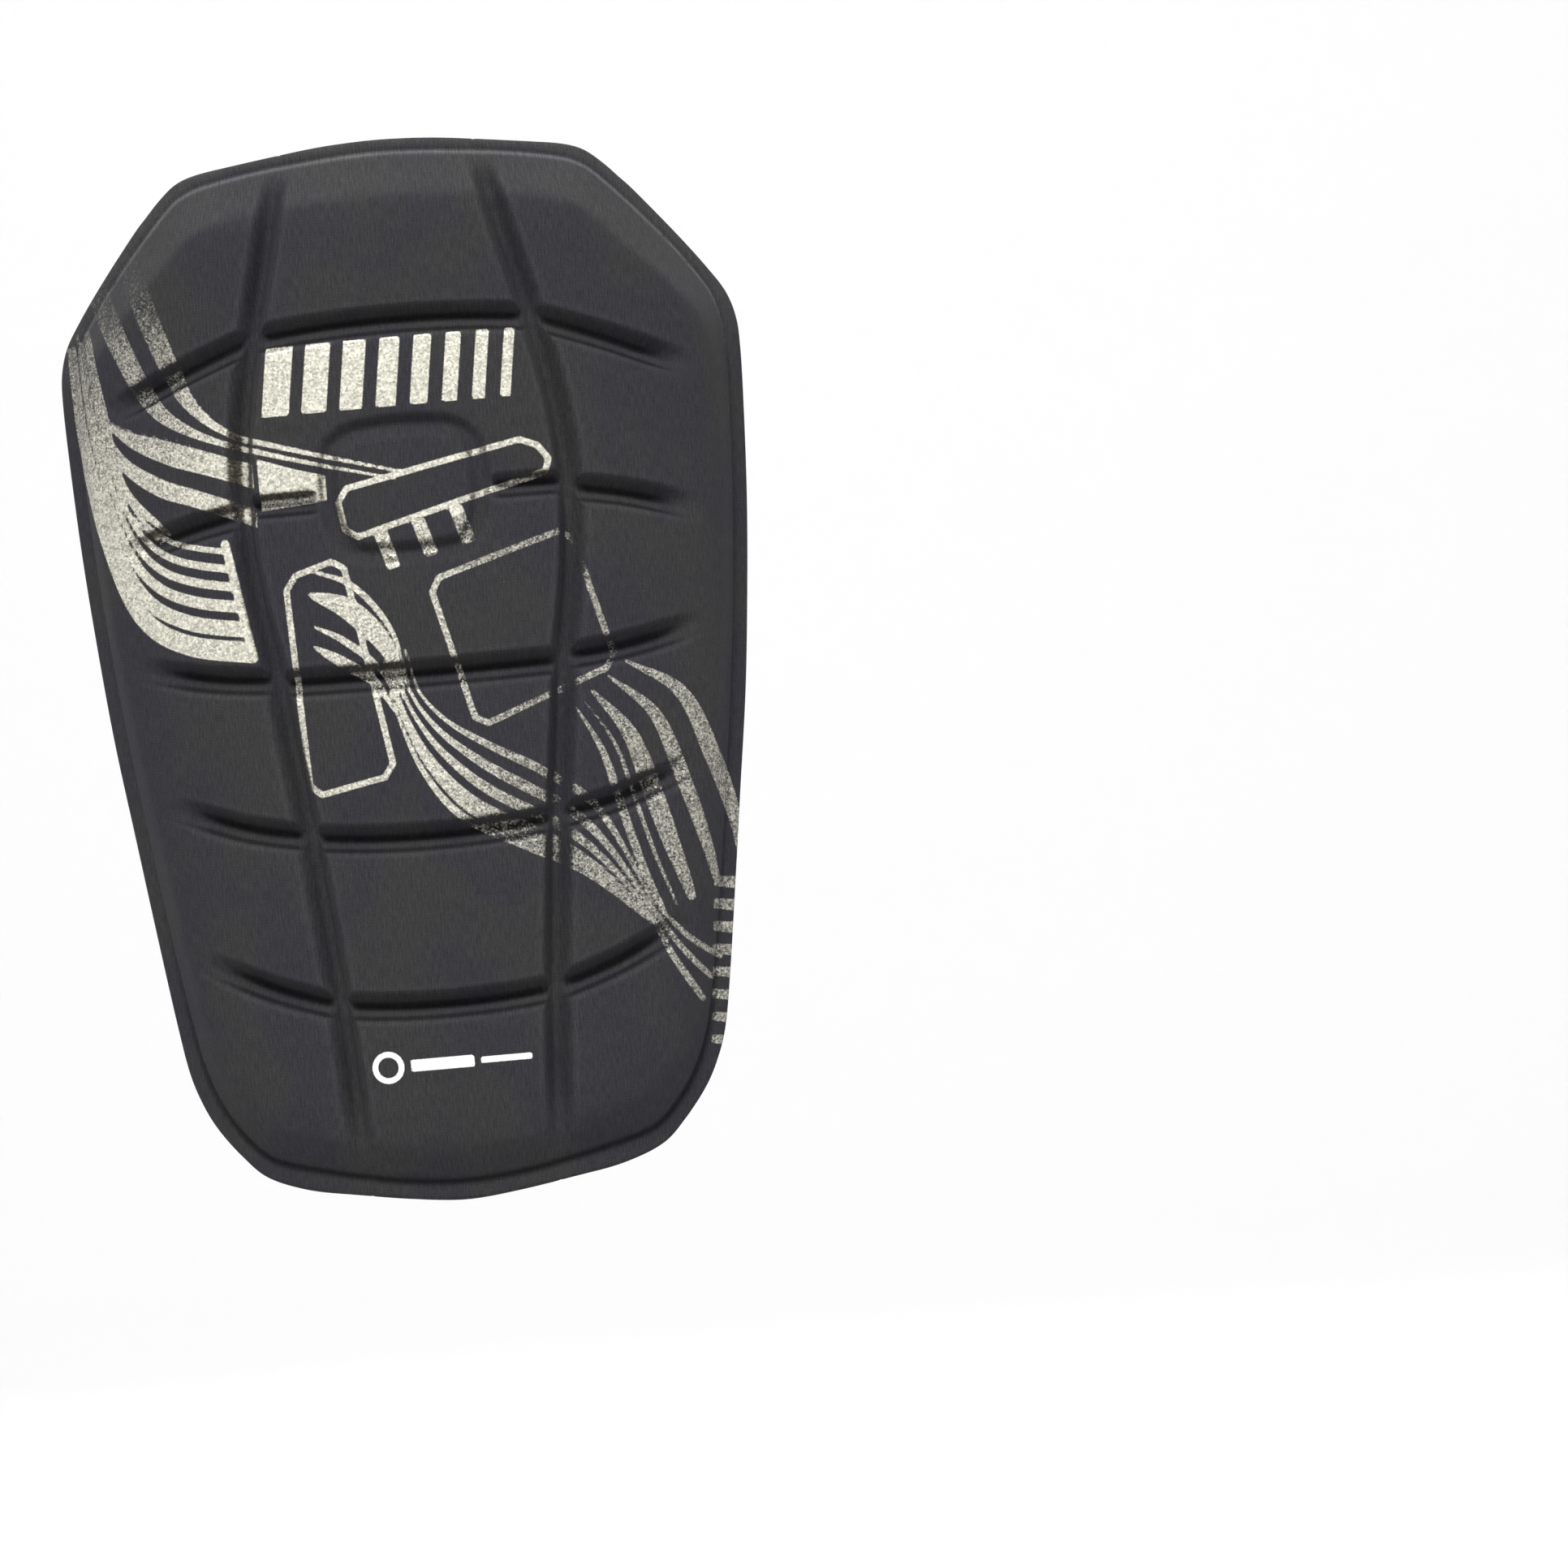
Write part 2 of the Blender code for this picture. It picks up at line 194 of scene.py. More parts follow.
def distance(points, line):
    """Each point's distance to a polyline, and how far along it (in mm) the nearest place is."""
    best = np.full(len(points), 1e9)
    along = np.zeros(len(points))
    run = 0.0
    for a, b in zip(line[:-1], line[1:]):
        d = b - a
        length = math.hypot(*d)
        if length < 1e-9:
            continue
        t = np.clip(((points - a) @ d) / length**2, 0, 1)
        gap = np.hypot(points[:, 0] - a[0] - t * d[0], points[:, 1] - a[1] - t * d[1])
        nearer = gap < best
        best[nearer] = gap[nearer]
        along[nearer] = run + t[nearer] * length
        run += length
    return best, along


def length_of(line):
    """Length of a polyline."""
    return float(np.hypot(*np.diff(line, axis=0).T).sum())


def ease(x):
    """A smooth step from 0 to 1."""
    x = np.clip(x, 0, 1)
    return x * x * (3 - 2 * x)


# ---------------------------------------------------------------- the grid


def graded(length, fine_low, fine_high):
    """Places from 0 to 1 along a side, closer together near the ends that are fine."""
    t = np.linspace(0, length, 2000)
    near = np.full_like(t, 1e9)
    if fine_low:
        near = np.minimum(near, t)
    if fine_high:
        near = np.minimum(near, length - t)
    step = FINE + (COARSE - FINE) * ease((near - FINE_REACH) / FINE_REACH)
    density = np.concatenate([[0], np.cumsum(np.diff(t) / step[1:])])
    count = int(round(density[-1]))
    return np.interp(np.linspace(0, density[-1], count + 1), density, t) / length


def resampled(line, shares):
    """Points at the given shares of a polyline's length."""
    run = np.concatenate([[0], np.cumsum(np.hypot(*np.diff(line, axis=0).T))])
    at = np.asarray(shares) * run[-1]
    return np.column_stack([np.interp(at, run, line[:, k]) for k in (0, 1)])


def stretch(line, start, end):
    """The part of a polyline between the places nearest two points."""
    i = int(np.argmin(np.hypot(*(line - start).T)))
    j = int(np.argmin(np.hypot(*(line - end).T)))
    return np.vstack([start, line[i + 1:j], end])


def crossing(line, points):
    """Where the last stretch of points, drawn on, meets a polyline."""
    a, b = np.array(points[-2], float), np.array(points[-1], float)
    way = (b - a) / np.hypot(*(b - a))
    side = (line - a) @ np.array([-way[1], way[0]])
    ahead = (line - a) @ way
    found = [k for k in range(len(line) - 1) if side[k] * side[k + 1] <= 0 and ahead[k] > 0]
    k = found[0]
    share = side[k] / (side[k] - side[k + 1])
    return line[k] + share * (line[k + 1] - line[k])


def patch(bottom, top, left, right, across, up):
    """A grid between four sides that share their corners."""
    b, t = resampled(bottom, across), resampled(top, across)
    l, r = resampled(left, up), resampled(right, up)
    u, v = across[None, :, None], up[:, None, None]
    return (
        (1 - v) * b[None] + v * t[None] + (1 - u) * l[:, None] + u * r[:, None]
        - (1 - u) * (1 - v) * b[0] - u * (1 - v) * b[-1] - (1 - u) * v * t[0] - u * v * t[-1]
    )


def right_half():
    """The grid of the right half in the pattern: an array of rows of (s, z)."""
    outline = smooth(OUTLINE, across=True)
    long_line = smooth(LONG_LINE)
    top_corner, bottom_corner = (np.array(p, float) for p in OUTLINE_SIDE)
    joints = [long_line[0]]
    spines = [stretch(outline, outline[0], long_line[0])]
    wings = [stretch(outline, long_line[0], top_corner)]
    ends = [top_corner]
    for (middle, bow), wing in zip(SPINE_GROOVES, WING_GROOVES):
        start = np.array(wing[0], float)
        near = long_line[int(np.argmin(np.abs(long_line[:, 1] - start[1])))]
        x = np.linspace(0, near[0], 40)
        z = middle + bow * (x / SPINE_HALF) ** 2
        z += (near[1] - z[-1]) * ease(x / near[0])
        end = crossing(outline, wing)
        joints.append(near)
        spines.append(np.column_stack([x, z]))
        wings.append(smooth([near, *wing[1:], end]))
        ends.append(end)
    joints.append(long_line[-1])
    spines.append(stretch(outline, long_line[-1], outline[-1])[::-1])
    wings.append(stretch(outline, bottom_corner, long_line[-1])[::-1])
    ends.append(bottom_corner)

    def flat(line, height=PAD_CREST - 1):
        return to_pattern(line, height)

    def rim(line):
        """A line to the outline, where the height drops to the flange's."""
        share = np.linspace(0, 1, len(line))[:, None]
        return flat(line) * (1 - share) + flat(line, FLANGE_TOP) * share

    across_spine = graded(length_of(flat(spines[2])), False, True)
    across_wing = graded(length_of(rim(wings[2])), True, True)
    rows = []
    last = len(joints) - 2
    for k in range(last + 1):
        low_s, high_s = flat(spines[k + 1]), flat(spines[k])
        low_w = edge_blend(wings[k + 1]) if k == last else rim(wings[k + 1])
        high_w = edge_blend(wings[k]) if k == 0 else rim(wings[k])
        middle = np.vstack([low_s[0], high_s[0]])
        seam = flat(stretch(long_line, joints[k], joints[k + 1]))[::-1]
        side = flat(stretch(outline, ends[k], ends[k + 1]), FLANGE_TOP)[::-1]
        up = graded(length_of(seam), True, True)
        spine = patch(low_s, high_s, middle, seam, across_spine, up)
        wing = patch(low_w, high_w, seam, side, across_wing, up)
        block = np.concatenate([spine, wing[:, 1:]], axis=1)[::-1]
        rows.append(block if k == 0 else block[1:])
    return np.concatenate(rows)


def edge_blend(line):
    """The outline from the long groove round to its side, in the pattern."""
    share = ease(np.linspace(0, 1, len(line)) * 4)[:, None]
    high, low = to_pattern(line, PAD_CREST - 1), to_pattern(line, FLANGE_TOP)
    return high * (1 - share) + low * share


# ---------------------------------------------------------------- the relief


def groove_list():
    """The right half's grooves in the pattern.

    Each is (line, half floor, wall, depth share, fades, leans). A leaning groove is steep and
    deep under the pad above, and ramps up to a small step at the pad below.
    """
    long_line = smooth(LONG_LINE)
    grooves = [(long_line, 0.5, 2.6, 0.70, (10, 22), False)]
    for row, (middle, bow) in enumerate(SPINE_GROOVES):
        if row == SLOT_ROW:
            line = [(32.0, middle), (24, middle), (16.2, middle)]
            grooves.append((smooth(line), 0.6, 1.7, 0.55, (0, 3), True))
            continue
        reach = long_line[int(np.argmin(np.abs(long_line[:, 1] - middle)))][0]
        x = np.linspace(0, reach, 30)
        line = np.column_stack([x, middle + bow * (x / SPINE_HALF) ** 2])
        grooves.append((line, 0.9, 2.2, 0.58, (0, 0), True))
    for wing in WING_GROOVES:
        grooves.append((smooth(wing), 0.9, 2.2, 0.57, (0, 14), True))
    grooves.append((smooth(INSET_GROOVE), 0.5, 2.0, 0.30, (0, 0), False))
    return [(to_pattern(line, PAD_CREST - 1), *rest) for line, *rest in grooves]


def signed_inside(points, half_line, height):
    """Distance of each right-half point inside a closed ring given by its right half."""
    ring = to_pattern(smooth(half_line, across=True), height)
    gap, _ = distance(points, ring)
    x, z = points.T
    order = np.argsort(ring[:, 1])
    width = np.interp(z, ring[order, 1], ring[order, 0])
    inside = (np.abs(x) < width) & (z < ring[:, 1].max()) & (z > ring[:, 1].min())
    return np.where(inside, gap, -gap)


class Groove:
    """A groove's distances over a grid: gap from its line, how far above it, and its fade."""

    def __init__(self, points, line, floor, wall, share, fades, leans):
        self.gap, along = distance(points, line)
        self.floor, self.wall, self.share, self.leans = floor, wall, share, leans
        self.fade = np.ones(len(points))
        if fades[0]:
            self.fade = ease(along / fades[0])
        if fades[1]:
            self.fade = self.fade * ease((length_of(line) - along) / fades[1])
        order = np.argsort(line[:, 0])
        self.above = points[:, 1] > np.interp(points[:, 0], line[order, 0], line[order, 1])

    def cut(self, shrink):
        """Depth at each place, as a share of the pads' height."""
        wide = self.floor * (0.4 + 0.6 * self.fade) + shrink
        sides = 1 - ease((self.gap - wide) / self.wall)
        if self.leans:
            under = 1 - ease((self.gap - 0.5 * wide) / (1.25 * self.wall))
            ramp = 1 - 0.55 * np.clip((self.gap - 0.3) / (STEP_AT - 0.3 + shrink), 0, 1)
            ramp = ramp * (1 - ease((self.gap - STEP_AT - shrink) / 1.0))
            sides = np.where(self.above, under, ramp)
        return self.share * self.fade * sides

    def foot(self):
        """The line at the foot of the wall, and the fine one at the step, from 0 to 1: the face
        dips a little there, and its colour is darkened there as painted shade, with a broader
        painted shade below a leaning groove.
        """
        line = 0.3 * np.exp(-(((self.gap - self.floor) / 0.6) ** 2))
        if self.leans:
            near = np.exp(-((self.gap / 0.85) ** 2))
            step = np.exp(-(((self.gap - STEP_AT) / 0.45) ** 2))
            shade = 0.35 * np.exp(-((self.gap / 2.0) ** 2))
            line = np.where(self.above, near, np.clip(np.maximum(near, step) + shade, 0, 1))
        return line * self.fade * min(self.share / 0.55, 1)

    def lip(self):
        """The rounded edges of the pads, above the wall and below the step, for a painted
        highlight there; stronger below the step, which faces up.
        """
        lip = np.exp(-(((self.gap - self.floor - 1.1 * self.wall) / 0.7) ** 2))
        if self.leans:
            below = 1.6 * np.exp(-(((self.gap - STEP_AT - 1.0) / 0.6) ** 2))
            lip = np.where(self.above, lip, below)
        return lip * self.share * self.fade

    def walls(self):
        """The steep walls, from 0 to 1; weaker below a leaning groove, since the face's colour is
        darkened on the walls as painted shade, most of all on the upper wall, which faces down.
        """
        band = 1 - ease(np.abs(self.gap - self.floor - 0.42 * self.wall) / (0.62 * self.wall))
        if self.leans:
            band = np.where(self.above, band, 0.35 * band)
        return band * self.fade * min(self.share / 0.55, 1)


class Lay:
    """What the relief needs to know at each place of a grid."""

    def __init__(self, points):
        self.points = points
        self.inside = signed_inside(points, CREASE, FLANGE_TOP)
        self.edge = distance(points, to_pattern(smooth(OUTLINE, across=True), FLANGE_TOP))[0]
        self.grooves = [Groove(points, *groove) for groove in groove_list()]

    def cut(self, shrink=0.0):
        """Depth of the grooves at each place, as a share of the pads' height."""
        return np.max([groove.cut(shrink) for groove in self.grooves], axis=0)

    def foot(self):
        """The fine lines at the foot of the grooves' walls, left out where grooves cross; the
        face dips a little there and its colour is darkened there as painted shade.
        """
        found = np.zeros(len(self.points))
        for groove in self.grooves:
            others = [other.cut(0.0) for other in self.grooves if other is not groove]
            clear = 1 - np.minimum(1.6 * np.max(others, axis=0), 1)
            found = np.maximum(found, groove.foot() * clear)
        return found

    def wall(self):
        """The grooves' walls, from 0 to 1, where the face's colour is darkened as painted shade.
        """
        return np.max([groove.walls() for groove in self.grooves], axis=0)

    def nearness(self, reach):
        """How near each place is to a groove, from 0 to 1, with a soft reach."""
        far = np.ones(len(self.points))
        for groove in self.grooves:
            near = groove.fade * groove.share * np.exp(-((groove.gap / reach) ** 2))
            far = far * (1 - near)
        return 1 - far

    def crest(self):
        """How near each place is to the rounded edge beside a groove, from 0 to 1, for a painted
        highlight there.
        """
        found = np.zeros(len(self.points))
        for groove in self.grooves:
            found = np.maximum(found, groove.lip())
        return found * (1 - ease(self.cut() * 3))

    def height(self, shrink=0.0):
        """Height of the face above the lining's shin side, or of a skin that far under it."""
        up = ease((self.points[:, 1] - 30) / 50)
        width = SHOULDER_SIDE + (SHOULDER - SHOULDER_SIDE) * up
        rise = (self.inside - 1.2 * shrink) / width
        # A straight slope, with its lower and upper corners rounded.
        slope = np.clip(rise, 0, 1) - 0.05 * np.exp(-(((rise - 1) / 0.13) ** 2))
        slope = slope - np.clip(0.07 * np.exp(-((rise / 0.15) ** 2)), 0, slope)
        flange = FLANGE_TOP - shrink
        crown = CROWN * (1 - self.nearness(6.0)) * ease((self.inside - 0.8 * width) / 9)
        top = PAD_CREST - CROWN + crown - shrink
        height = flange + (top - flange) * slope * (1 - self.cut(shrink))
        crease = 0.26 * np.exp(-((self.inside / 0.6) ** 2))
        roll = 0.7 * (1 - np.sqrt(1 - (1 - np.clip(self.edge / 0.8, 0, 1)) ** 2))
        dip = 0.26 * self.foot()
        return height - (crease + roll + dip) * (1 if shrink == 0 else 0.6)


# ---------------------------------------------------------------- the print


def family(first, last, duties, taper=(0.5, 0.5), swells=True):
    """Bands that fan from one line to the other, each with its share of the space between.

    taper is how wide the bands are at their start and at their end, against their middle.
    """
    a, b = smooth(first), smooth(last)
    share = np.linspace(0, 1, 80)
    a, b = resampled(a, share), resampled(b, share)
    total = sum(gap + width for gap, width in duties)
    spacing = np.hypot(*(b - a).T) / total
    ends = taper[0] + (taper[1] - taper[0]) * share**1.5
    full = ends + (1 - ends) * np.sin(math.pi * share) ** 0.7 * swells
    bands, run = [], 0.0
    for gap, width in duties:
        middle = (run + gap + width / 2) / total
        run += gap + width
        bands.append((a * (1 - middle) + b * middle, 0.5 * width * spacing * full))
    return bands


def outline(corners, half=0.6, cut=2.2):
    """A thin closed line with straight sides and cut corners."""
    ring = []
    count = len(corners)
    for k in range(count):
        before, here, after = (np.array(corners[(k + d) % count], float) for d in (-1, 0, 1))
        for other in (before, after):
            ring.append(here + (other - here) / np.hypot(*(other - here)) * cut)
    ring = np.array(ring + ring[:1])
    return [(ring, np.full(len(ring), half))]


def bar(start, end, half):
    """A straight band of one width."""
    return (np.array([start, end], float), np.array([half, half], float))


def print_groups():
    """The metallic print in front view: (bands, edges that cut them) for each group.

    A band is a line and its half width along it. An edge is two points, and keeps its left side.
    """
    groups = []
    # Flank lines that run down beside the outline, and turn in under the second groove.
    groups.append((family(
        [(-66.5, 70), (-65.4, 50), (-61.6, 30), (-55.5, 13.5), (-46, 6.2), (-30, 3.0)],
        [(-61.0, 72), (-57.8, 52), (-54.5, 38), (-47, 30.0), (-30, 25.8)],
        [(0.3, 2.1), (0.4, 1.6), (0.8, 1.2), (0.9, 0.9), (0.9, 0.8), (1.0, 0.6)],
        (0.9, 1.0), False,
    ), [((-32.4, 0), (-37.6, 30))]))
    groups.append(([bar((-36.4, 28), (-32.6, 5), 0.85)], []))
    groups.append((family(
        [(-64.5, 73), (-62.6, 56), (-59, 40), (-50, 29)],
        [(-60.5, 73), (-58.4, 58), (-55.5, 42), (-47, 32)],
        [(0.2, 0.9), (0.8, 2.2)],
        (0.6, 0.3),
    ), []))
    # Broad bands that leave the flank higher up and reach the long groove.
    groups.append((family(
        [(-60.5, 60), (-57, 46), (-50, 39), (-42, 35.5), (-29, 30)],
        [(-62, 60), (-56, 53.5), (-46, 50), (-36, 46.5), (-26, 43)],
        [(0.1, 1.5), (1.3, 2.0), (0.3, 0.0)],
        (0.3, 0.95),
    ), [((-29.6, 25), (-29.6, 55))]))
    # Two bars that come down from the cut corner and thin out along the bands.
    groups.append((family(
        [(-61, 80), (-56, 67), (-50.5, 56), (-43, 50.3), (-30, 45.4), (-17, 41.4), (-2, 37.4)],
        [(-49.5, 86), (-43.2, 66), (-39.5, 56.5), (-33, 50), (-24, 46.6), (-13, 43.2), (0, 39.4)],
        [(0.2, 1.5), (1.6, 1.5), (0.2, 0.0)],
        (1.2, 0.55), False,
    ), []))
    # Past the long groove the broad bands close up.
    groups.append((family(
        [(-29, 33.2), (-18, 34.4), (-8, 36.2)],
        [(-29, 44.0), (-18, 40.4), (-5, 37.6)],
        [(0.1, 2.7)],
        (1.0, 0.8),
    ), [((-15.4, 30), (-15.4, 60)), ((-28.6, 60), (-28.6, 20))]))
    # Leaves that gather in the middle, and fan out again below.
    groups.append((family(
        [(-20.5, 4.5), (-15.5, 1.0), (-9.5, -3), (-5.6, -9)],
        [(-20.5, 22.0), (-11.5, 18), (-4.5, 8), (-2.6, -4)],
        [(0.2, 1.3), (1.0, 0.8), (1.5, 2.4), (0.8, 0.7)],
        (0.12, 0.3),
    ), []))
    groups.append((family(
        [(-7.2, 2), (-5.4, -9), (-1.4, -21), (5.5, -30.5), (17, -37), (29, -43.5), (41, -54)],
        [(-2.2, 4), (-0.4, -4), (5, -10.5), (13.5, -16), (23, -21.5), (33, -30), (42, -50)],
        [(0.1, 0.9), (0.35, 2.0), (1.0, 1.2), (1.2, 1.2), (1.5, 1.0)],
        (0.9, 1.25), False,
    ), []))
    groups.append((family(
        [(40.6, -52), (43.5, -60), (49, -71)],
        [(43.0, -51), (48.0, -56.5), (54, -61)],
        [(0.2, 0.7), (1.0, 0.6), (1.0, 0.6)],
        (1.5, 0.6), False,
    ), []))
    # Plumes on the right wing that fall from the middle groove to the flank.
    groups.append((family(
        [(29, -10), (33.5, -20), (36.5, -33), (39.5, -44), (43, -53)],
        [(41, -1), (52, -8), (57.5, -22), (60.5, -34), (61, -42)],
        [(0.2, 1.0), (1.1, 0.5), (0.9, 2.2), (2.0, 1.7), (2.4, 1.9)],
        (0.2, 0.5),
    ), []))
    # Short rungs on the right flank.
    rungs = []
    for k in range(8):
        z = -47.5 - 4.4 * k
        left = 53.4 - 0.85 * k
        half = 1.25 - 0.05 * k
        rungs.append((np.array([(left, z + 0.9), (left + 5, z), (left + 11, z - 1.6)]),
                      np.array([0.75 * half, half, half])))
    groups.append((rungs, [((54.6, -40), (50.2, -82))]))
    # Plain outlines and ticks between the bands.
    frames = outline([(-13.5, 36.2), (25.5, 43.8), (30, 37.4), (-12, 26.4)], 0.62)
    frames += outline([(3.2, 17.0), (31.5, 25.4), (38.6, -2.0), (10.5, -12.5)], 0.62)
    frames += outline([(-25.0, 19.8), (-13.5, 23.2), (-6.5, -20.2), (-23.5, -23.4)], 0.62)
    groups.append((frames, []))
    ticks = []
    for k in range(3):
        top = np.array([-6.0 + 7.6 * k, 29.4 + 1.75 * k])
        ticks.append(bar(top, top + (3.6, -12.2), 1.35))
    groups.append((ticks, [((30, 36.6), (-12, 25.8)), ((-12, 18.0), (30, 28.6))]))
    # A run of plain slanted bars across the second row, each thinner than the last.
    bars = []
    for k in range(8):
        middle = -23.2 + 7.9 * k - 0.2 * k * k
        bars.append(bar((middle + 1.4, 68), (middle - 1.4, 49), 2.7 - 0.24 * k))
    groups.append((bars, [((30, 65.6), (-30, 65.6)), ((-30, 52.0), (30, 52.0))]))
    return groups


def print_distance(places):
    """Distance in mm to the metallic print, negative on it, for points seen from in front."""
    found = np.full(len(places), FAR)
    for bands, edges in print_groups():
        group = np.full(len(places), FAR)
        for line, half in bands:
            low, high = line.min(0) - 6, line.max(0) + 6
            near = np.where(np.all((places > low) & (places < high), axis=1))[0]
            if not len(near):
                continue
            gap, along = distance(places[near], line)
            run = np.concatenate([[0], np.cumsum(np.hypot(*np.diff(line, axis=0).T))])
            group[near] = np.minimum(group[near], gap - np.interp(along, run, half))
        for start, end in edges:
            way = np.subtract(end, start) / math.dist(start, end)
            outside = (places - start) @ np.array([way[1], -way[0]])
            group = np.maximum(group, outside)
        found = np.minimum(found, group)
    return found


# ---------------------------------------------------------------- meshes


def shell(name, shape, outer, inner, side):
    """A closed thin piece between two skins on the same grid."""
    count = shape[0] * shape[1]
    index = np.arange(count).reshape(shape)
    quads = np.stack([index[:-1, :-1], index[1:, :-1], index[1:, 1:], index[:-1, 1:]], -1)
    quads = quads.reshape(-1, 4)
    ring = np.array([*index[:, 0], *index[-1, 1:], *index[-2::-1, -1], *index[0, -2:0:-1]])
    after = np.roll(ring, -1)
    rim = np.column_stack([ring, ring + count, after + count, after])
    faces = np.vstack([quads, quads[:, ::-1] + count, rim])
    if side < 0:
        faces = faces[:, ::-1]
    mesh = bpy.data.meshes.new(name)
    mesh.from_pydata(np.vstack([outer, inner]).tolist(), [], faces.tolist())
    mesh.update()
    mesh.shade_smooth()
    mesh.set_sharp_from_angle(angle=math.radians(65))
    made = bpy.data.objects.new(name, mesh)
    bpy.context.scene.collection.objects.link(made)
    return made


def give(piece, name, values):
    """Stores a value, or a vector, for each point of a piece."""
    values = np.asarray(values, np.float32)
    kind = "FLOAT_VECTOR" if values.ndim == 2 else "FLOAT"
    attribute = piece.data.attributes.new(name, kind, "POINT")
    attribute.data.foreach_set("vector" if values.ndim == 2 else "value", values.ravel())


def give_pattern(piece, points):
    """Stores the place in the flat pattern, in millimetres, for the weave to follow."""
    give(piece, "pattern", np.column_stack([points, np.zeros(len(points))]))


def halves(name, shape, points, outer, inner):
    """The right and left halves of a piece that spans the guard, from heights on the grid."""
    made = []
    for side, word in ((1, "right"), (-1, "left")):
        s = points[:, 0] * side
        front, back = (wrapped(s, points[:, 1], height) for height in (outer, inner))
        piece = shell(f"{name}_{word}", shape, front, back, side)
        flat = np.column_stack([s, points[:, 1]])
        give_pattern(piece, np.vstack([flat, flat]))
        made.append(piece)
    return made


def bend_with_wing(piece):
    """Bakes the piece's place into its mesh; the piece does not bend with its wing."""
    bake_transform(piece)


def foam_pad(node):
    """A rounded copy of a CAD pad, kept under the face fabric."""
    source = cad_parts[node]
    rough = bpy.data.objects.new(node + "_foam", source.data.copy())
    bpy.context.scene.collection.objects.link(rough)
    remesh = rough.modifiers.new("remesh", "REMESH")
    remesh.mode = "VOXEL"
    remesh.voxel_size = PAD_VOXEL
    relax = rough.modifiers.new("relax", "SMOOTH")
    relax.factor, relax.iterations = 0.6, 6
    ready = rough.evaluated_get(bpy.context.evaluated_depsgraph_get())
    rough_mesh = rough.data
    mesh = bpy.data.meshes.new_from_object(ready)
    rough.modifiers.clear()
    rough.data = mesh
    rough.name = node + "_foam"
    bpy.data.meshes.remove(rough_mesh)
    count = len(mesh.vertices)
    places = np.empty(count * 3)
    mesh.vertices.foreach_get("co", places)
    s, z, height = unwrapped(places.reshape(-1, 3))
    # The spine's pads lie lower near the flex lines, where the fabric dips as a wing folds in.
    room = PAD_ROOM + FLEX_ROOM * ease((np.abs(s) - 22) / 6) * node.startswith("spine")
    ceiling = Lay(np.column_stack([np.abs(s), z])).height(0.0) - room
    height = np.minimum(height, np.maximum(ceiling, WEB_TOP + 0.4))
    mesh.vertices.foreach_set("co", wrapped(s, z, height).ravel())
    mesh.materials.clear()
    mesh.update()
    mesh.shade_smooth()
    give(rough, "pattern", np.column_stack([s, z, height]))
    return rough


# ---------------------------------------------------------------- materials


class Wire:
    """A number that comes out of a node, for writing sums."""

    def __init__(self, look, socket):
        self.look, self.socket = look, socket

    def __add__(self, other):
        return self.look.math("ADD", self, other)

    def __sub__(self, other):
        return self.look.math("SUBTRACT", self, other)

    def __mul__(self, other):
        return self.look.math("MULTIPLY", self, other)

    def sine(self):
        return self.look.math("SINE", self)

    def ramp(self, low, high, to_low=0.0, to_high=1.0):
        """A smooth ramp from to_low, where this is low, to to_high, where it is high."""
        node = self.look.node("ShaderNodeMapRange", interpolation_type="SMOOTHSTEP")
        for socket, value in zip(node.inputs[:5], (self, low, high, to_low, to_high)):
            self.look.put(socket, value)
        return Wire(self.look, node.outputs[0])


